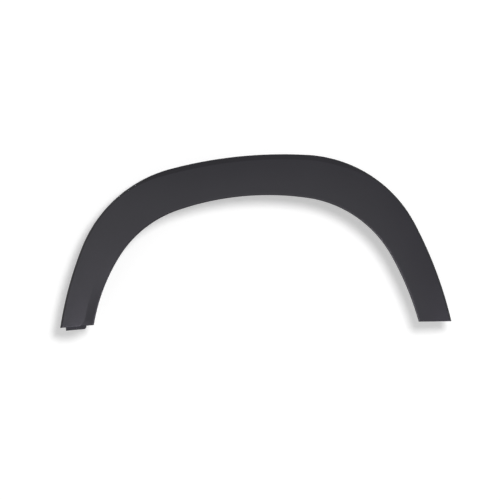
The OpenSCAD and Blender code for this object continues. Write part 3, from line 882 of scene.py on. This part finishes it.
def datum_place():
    """The section that passes the origin, found by halving, and how far across it that is."""
    lo, hi = 0.0, OPENING.length
    for _ in range(HALVINGS):
        s = (lo + hi) / 2
        ahead = cross2(across_at(s), -OPENING.point(s)) < 0
        lo, hi = (s, hi) if ahead else (lo, s)
    return Band(s), float(np.linalg.norm(OPENING.point(s)))


def pin(band, v):
    """A locating pin and its boss, as one turned profile from the tip to the face."""
    root = float(band.root(v)[0, 0])
    points, faces = lathe(smooth_line([
        [0, -PIN_L - PIN_TIP_L], [PIN_TIP_R, -PIN_L - PIN_TIP_L], [PIN_R, -PIN_L],
        [PIN_R, SEAL_T], [PIN_BOSS_R, SEAL_T], [PIN_BOSS_R, root], [0, root]], TURNED_R))
    return in_section(band, v + points[:, 0], points[:, 2], points[:, 1]), faces


def pin_gusset_across(band, v):
    """The gussets of a pin's boss that run across the band."""
    step = SEAL_T + BOSS_FREE
    lo, hi = v - PIN_GUSSET_L, v + PIN_GUSSET_L
    low, high = (float(band.root(x)[0, 0]) for x in (lo, hi))
    return rib(band, [[v - PIN_BOSS_R, step], [v + PIN_BOSS_R, step], [hi, high - RIB_FOOT],
                      [hi, high], [lo, low], [lo, low - RIB_FOOT]])


def pin_gusset_along(band, v):
    """The gussets of a pin's boss that run along the trim."""
    step = SEAL_T + BOSS_FREE
    root = float(band.root(v)[0, 0])
    outline = rounded([
        [-PIN_BOSS_R, step], [PIN_BOSS_R, step], [PIN_GUSSET_L, root - RIB_FOOT],
        [PIN_GUSSET_L, root], [-PIN_GUSSET_L, root], [-PIN_GUSSET_L, root - RIB_FOOT]],
        RIB_CORNER_R)
    return carried(band, slab(outline, v - RIB_T / 2, v + RIB_T / 2), "zhv")


def flange_cylinder(s, profile):
    """A turned profile of (radius, distance from the flange's outer face), on the axis of a
    screw hole."""
    band = Band(s)
    v = float(band.flange_v(SCREW_H)[0, 0])
    points, faces = lathe(profile)
    return in_section(band, v + points[:, 2], SCREW_H + points[:, 0], points[:, 1]), faces


def screw_pad(s):
    """The pad round a screw hole, behind the return flange."""
    end = SCREW_SEAT + SCREW_PAD_T
    return flange_cylinder(s, smooth_line([
        [0, SCREW_SEAT], [SCREW_PAD_R, SCREW_SEAT], [SCREW_PAD_R, end], [0, end]], TURNED_R))


def screw_bore(s):
    """What a screw hole cuts away: the seat of the screw's head and the bore."""
    seat_r = SCREW_PAD_R - SCREW_RIM
    start = -FLANGE_LEAN - OVER
    end = SCREW_SEAT + SCREW_PAD_T + OVER
    return flange_cylinder(s, [
        [0, start], [seat_r, start], [seat_r, SCREW_SEAT], [SCREW_R + BORE_CHAMFER, SCREW_SEAT],
        [SCREW_R, SCREW_SEAT + BORE_CHAMFER], [SCREW_R, end], [0, end]])


def gusset(s):
    """A gusset that ties the return flange to the face."""
    band = Band(s)
    v = float(band.flange_v(GUSSET_H)[0, 0])
    inner, outer = (float(band.root(x)[0, 0]) for x in (BITE, GUSSET_W))
    return rib(band, [[v + BITE, GUSSET_H], [v + FLANGE_T + RIB_TOE, GUSSET_H],
                      [GUSSET_W, outer - RIB_FOOT], [GUSSET_W, outer], [BITE, inner]])


def bracket(s):
    """A bracket that ties the lip to the face."""
    band = Band(s)
    crest_v = float(band.crest_v[0, 0])
    v = float(band.lip_v(BRACKET_H)[0, 0])
    end = crest_v - BRACKET_W
    at_end, at_crest = (float(band.root(x)[0, 0]) for x in (end, crest_v))
    return rib(band, [[v - BITE, BRACKET_H], [v - LIP_T - RIB_TOE, BRACKET_H],
                      [end, at_end - RIB_FOOT], [end, at_end], [crest_v - BITE, at_crest]])


def end_wall(s):
    """A wall across the inside of a foot, which follows the face and the lip."""
    band = Band(s)
    crest_v = float(band.crest_v[0, 0])
    strip_w = float(band.strip_w[0, 0])
    v = np.concatenate([np.linspace(BITE, strip_w, END_WALL_STRIP_POINTS),
                        np.linspace(strip_w, crest_v, END_WALL_FACE_POINTS)[1:-1]])
    top = pairs(v, band.root(v)[0])
    flange = float(band.flange_v(END_WALL_GAP)[0, 0]) + BITE
    lip_top = float(band.lip_v(CREST_H)[0, 0]) - BITE
    lip_low = float(band.lip_v(END_WALL_GAP)[0, 0]) - BITE
    outline = np.vstack([[[flange, END_WALL_GAP]], top, [[lip_top, CREST_H - BITE]],
                         [[lip_low, END_WALL_GAP]]])
    return carried(band, slab(outline, -END_WALL_T / 2, END_WALL_T / 2))


def tongue():
    """The tongue of the left foot: a tab that follows the inside of the face. Its section, a
    bar with a rounded end, is carried across the foot, and its end runs back at 45 degrees over
    the bevel of the inner corner. At its two sides the bar draws in, as a slab's rims do."""
    band = Band(0.0)
    inner_v = float(band.width[0, 0]) - TONGUE_FROM_CORNER - TONGUE_W
    side = TONGUE_R * (1 - np.cos(RIM_ANGLES))
    drawn_in = TONGUE_R * (1 - np.sin(RIM_ANGLES))
    body = np.concatenate([
        np.linspace(1, TONGUE_BEVEL, BEVEL_POINTS),
        np.linspace(TONGUE_BEVEL + TONGUE_MARGIN, TONGUE_W - TONGUE_MARGIN, TONGUE_POINTS)])
    across = np.concatenate([side, body, TONGUE_W - side[::-1]])
    draw = np.concatenate([drawn_in, np.zeros(len(body)), drawn_in[::-1]])
    # The bar as (z, h), with its end at z = 0 and its root at z = 1
    thick = TONGUE_T + TONGUE_BITE
    bar = rounded([[0, 0], [0, -thick], [1, -thick], [1, 0]],
                  np.array([TONGUE_R, TONGUE_R, TONGUE_ROOT_R, TONGUE_ROOT_R]))
    outwards = np.sign(bar - [0.5, -thick / 2])
    bars = bar - outwards * draw[:, None, None]
    end = TONGUE_L - np.maximum(TONGUE_BEVEL - across, 0)
    v = np.repeat((inner_v + across)[:, None], len(bar), 1)
    h = (band.face(v[:, 0])[0] - WALL_T + TONGUE_BITE)[:, None] + bars[..., 1]
    z = np.where(bar[:, 0] > 0.5, TONGUE_ROOT, bars[..., 0] - end[:, None])
    return carried(band, np.stack([v, h, z], -1))


def make_moulding():
    """The moulding: its wall, joined with all that it carries, and cut by the screw holes."""
    solid, slots = wall_solid()
    skins = [GRAINED, PLAIN]
    piece = make_object("arch_moulding", [solid], skins, slots)
    pins = [datum_place()] + [clip_place(s) for s in BETWEEN_CLIPS_S[[1, -2]]]
    from_end = END_WALL_SET + END_WALL_T / 2
    for solids in (
            [tower_walls(s) for s in CLIP_S] + [pin_gusset_across(*p) for p in pins],
            [tower_plate(s) for s in CLIP_S] + [pin_gusset_along(*p) for p in pins],
            [pin(*p) for p in pins] + [screw_pad(s) for s in SCREW_S],
            [gusset(s) for s in gusset_places()],
            [bracket(s) for s in BETWEEN_CLIPS_S],
            [end_wall(TONGUE_ROOT + from_end), end_wall(OPENING.length - from_end), tongue()]):
        combine(piece, solids, skins, "UNION")
    combine(piece, [screw_bore(s) for s in SCREW_S], skins, "DIFFERENCE")
    piece.data.set_sharp_from_angle(angle=np.radians(MOULDING_SHARP))
    piece.data.name = piece.name
    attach(piece, "root")
    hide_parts("moulding")


# Clips and sealing rings

def on_axis(node, points):
    """Points of (across, along, height) on the axis of a clip or ring, which runs through the
    middle of its node's box."""
    low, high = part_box(node)
    x, z = (low.x + high.x) / 2, (low.z + high.z) / 2
    return np.stack([x + points[:, 0] * MM, -points[:, 2] * MM, z + points[:, 1] * MM], -1)


def clip_profile():
    """Half of a clip's outline as (radius, height), from the head down to the tip."""
    top = HEAD_H + HEAD_T
    low = -SHANK_L
    tip = low - BARB_COUNT * BARB_PITCH
    barb = np.array([[CORE_R, BARB_FOOT], [BARB_R, BARB_EDGE[0]], [BARB_R, BARB_EDGE[1]]])
    down = np.arange(BARB_COUNT)[:, None, None] * [0, BARB_PITCH]
    barbs = (barb + down).reshape(-1, 2) * [1, -1] + [0, low]
    return smooth_line(np.vstack([
        [[0, top], [HEAD_R - HEAD_CHAMFER, top], [HEAD_R, top - HEAD_CHAMFER], [HEAD_R, HEAD_H],
         [NECK_R, HEAD_H], [NECK_R, PLATE_H], [COLLAR_R, PLATE_H],
         [COLLAR_R, PLATE_H - COLLAR_RIM_T], [COLLAR_R - COLLAR_TAPER, SEAL_T],
         [SHANK_R, SEAL_T], [SHANK_R, low]],
        barbs,
        [[CORE_R, tip], [TIP_R, tip - TIP_L], [0, tip - TIP_L]]]), CLIP_CORNER_R)


def make_clip(i):
    """A push-in clip, turned in one profile. Two flats cut its barbs, where the mould parts."""
    points, faces = lathe(clip_profile(), SMALL_TURN_STEPS, BARB_FLAT, -SHANK_L)
    piece = make_object(f"push_clip_{i}", [(on_axis(f"clip_{i}", points), faces)], [NYLON])
    piece.data.set_sharp_from_angle(angle=np.radians(SMALL_SHARP))
    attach(piece, "root")
    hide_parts(f"clip_{i}")


def make_ring(i):
    """A sealing ring: a closed profile turned round the shank. Its sides are waisted, as foam
    is where a die has cut it: they lie SEAL_WAIST (1 - x^2) inside, x from -1 to 1 over the
    height, and half of that on the inner side."""
    x = np.linspace(-1, 1, RING_POINTS)
    height = SEAL_T * (x + 1) / 2
    waist = SEAL_WAIST * (1 - x * x)
    outer = pairs(SEAL_R - waist, height)
    inner = pairs(SHANK_R + SEAL_GAP + waist / 2, height)
    r, h = np.vstack([outer, inner[::-1]]).T
    turn = np.linspace(0, 2 * np.pi, SMALL_TURN_STEPS, endpoint=False)[:, None]
    rings = np.stack([r * np.cos(turn), r * np.sin(turn), h + 0 * turn], -1)
    steps, size = rings.shape[:2]
    points = on_axis(f"seal_ring_{i}", rings.reshape(-1, 3))
    faces = side_faces(steps + 1, size) % (steps * size)
    piece = make_object(f"foam_ring_{i}", [(points, [faces])], [FOAM])
    piece.data.set_sharp_from_angle(angle=np.radians(SMALL_SHARP))
    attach(piece, "root")
    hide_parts(f"seal_ring_{i}")


# The studio

def stage_material(name, glow_seen):
    """Matt white paint. Seen directly or mirrored it glows a little, so that it reads as white
    and the shadow on it stays soft grey. Its back isn't seen."""
    material, tree = new_material(name)
    path = add(tree, "ShaderNodeLightPath")
    seen = path.outputs["Is Camera Ray"]
    for ray in ("Is Glossy Ray", "Is Transmission Ray"):
        seen = add(tree, "ShaderNodeMath", {0: seen, 1: path.outputs[ray]},
                   operation="MAXIMUM").outputs["Value"]
    glow_level = add(tree, "ShaderNodeMath", {0: seen, 1: glow_seen}, operation="MULTIPLY")
    paint = add(tree, "ShaderNodeBsdfDiffuse", {"Color": STAGE_PAINT})
    glow = add(tree, "ShaderNodeEmission", {"Strength": glow_level.outputs["Value"]})
    front = add(tree, "ShaderNodeAddShader", {0: paint.outputs["BSDF"],
                                              1: glow.outputs["Emission"]})
    clear = add(tree, "ShaderNodeBsdfTransparent")
    facing = add(tree, "ShaderNodeNewGeometry").outputs["Backfacing"]
    shader = add(tree, "ShaderNodeMixShader", {0: facing, 1: front.outputs["Shader"],
                                               2: clear.outputs["BSDF"]})
    add(tree, "ShaderNodeOutputMaterial", {"Surface": shader.outputs["Shader"]})
    return material


def stage_plane(name, corners, material):
    """A flat part of the stage. It neither lights nor shades the trim, and isn't mirrored in
    it."""
    mesh = bpy.data.meshes.new(name)
    mesh.from_pydata(corners, [], [(0, 1, 2, 3)])
    mesh.materials.append(material)
    plane = bpy.data.objects.new(name, mesh)
    bpy.context.scene.collection.objects.link(plane)
    plane.visible_diffuse = False
    plane.visible_shadow = False
    plane.visible_glossy = False


def make_stage():
    """A wall close behind the trim, which takes its shadow, and a floor. The key light only
    grazes the floor, so it glows more, to be as white as the wall."""
    x = WALL_HALF_W
    foot = [(-x, WALL_Y, FLOOR_Z), (x, WALL_Y, FLOOR_Z)]
    top = [(x, WALL_Y, WALL_TOP), (-x, WALL_Y, WALL_TOP)]
    front = [(-x, FLOOR_FRONT, FLOOR_Z), (x, FLOOR_FRONT, FLOOR_Z)]
    stage_plane("studio_wall", foot + top, stage_material("white_wall_paint", WALL_GLOW))
    stage_plane("studio_floor", front + foot[::-1], stage_material("white_floor_paint", FLOOR_GLOW))


def make_world():
    """Even soft light from all round. Seen directly the room is white. Mirrored it is dim, with
    one wide bright panel in front of the trim, on the left and low: the level rises with the
    cosine of the angle to the panel's middle, in a smooth step."""
    world = bpy.data.worlds.new("studio")
    world.use_nodes = True
    bpy.context.scene.world = world
    tree = world.node_tree
    tree.nodes.clear()
    path = add(tree, "ShaderNodeLightPath")
    direction = add(tree, "ShaderNodeTexCoord").outputs["Generated"]
    cosine = add(tree, "ShaderNodeVectorMath", {0: direction, 1: PANEL_DIRECTION},
                 operation="DOT_PRODUCT").outputs["Value"]
    mirrored = add(tree, "ShaderNodeMapRange", {
        "Value": cosine, "From Min": PANEL_EDGE, "From Max": PANEL_MIDDLE,
        "To Min": ROOM_LEVEL, "To Max": PANEL_LEVEL}, interpolation_type="SMOOTHSTEP"
        ).outputs["Result"]
    seen = add(tree, "ShaderNodeMix", {
        "Factor": path.outputs["Is Camera Ray"], "A": mirrored, "B": 1.0},
        data_type="FLOAT").outputs["Result"]
    level = add(tree, "ShaderNodeMix", {
        "Factor": path.outputs["Is Diffuse Ray"], "A": seen, "B": DAYLIGHT},
        data_type="FLOAT").outputs["Result"]
    background = add(tree, "ShaderNodeBackground", {"Color": (1, 1, 1, 1), "Strength": level})
    add(tree, "ShaderNodeOutputWorld", {"Surface": background.outputs["Background"]})


def lamp(name, place, size, energy, colour=(1, 1, 1), sheen=False):
    """A round soft box at a place, turned to the trim's middle. It lights the room, or it only
    shows as a sheen on what mirrors it."""
    data = bpy.data.lights.new(name, "AREA")
    data.shape = "DISK"
    data.size = size
    data.energy = energy
    data.color = colour
    box = bpy.data.objects.new(name, data)
    box.location = place
    box.rotation_euler = (Vector(LAMP_TARGET) - Vector(place)).to_track_quat("-Z", "Y").to_euler()
    box.visible_camera = False
    box.visible_diffuse = not sheen
    box.visible_glossy = sheen
    bpy.context.scene.collection.objects.link(box)


def make_lamps():
    """The key light stands high on the right, so that the shadow falls to the lower left, and a
    soft box behind the wall lights the back. Two small cool ones stand low in front, beside the
    feet, which they give a brighter sheen than the crown has."""
    lamp("key", place=(1.45, -6.6, 1.32), size=1.9, energy=280)
    lamp("back", place=(-1.2, 4.5, 1.6), size=2.0, energy=260)
    lamp("left_sheen", place=(-0.705, -0.917, -0.72), size=0.5, energy=5.0,
         colour=COOL_WHITE, sheen=True)
    lamp("right_sheen", place=(1.187, -1.04, -0.72), size=0.5, energy=7.6,
         colour=COOL_WHITE, sheen=True)


def make_camera():
    """The camera looks straight at the show face from far off, as the photograph does."""
    data = bpy.data.cameras.new("camera")
    data.sensor_width = SENSOR_W
    data.lens = SENSOR_W * CAMERA_AWAY / FRAME_W
    camera = bpy.data.objects.new("camera", data)
    camera.location = (FRAME_X, -CAMERA_AWAY, FRAME_Z)
    camera.rotation_euler = (np.pi / 2, 0, 0)
    bpy.context.scene.collection.objects.link(camera)
    bpy.context.scene.camera = camera


make_camera()
make_moulding()
for number in range(1, CLIP_COUNT + 1):
    make_clip(number)
    make_ring(number)
make_stage()
make_world()
make_lamps()

bpy.context.scene.view_settings.view_transform = "Standard"
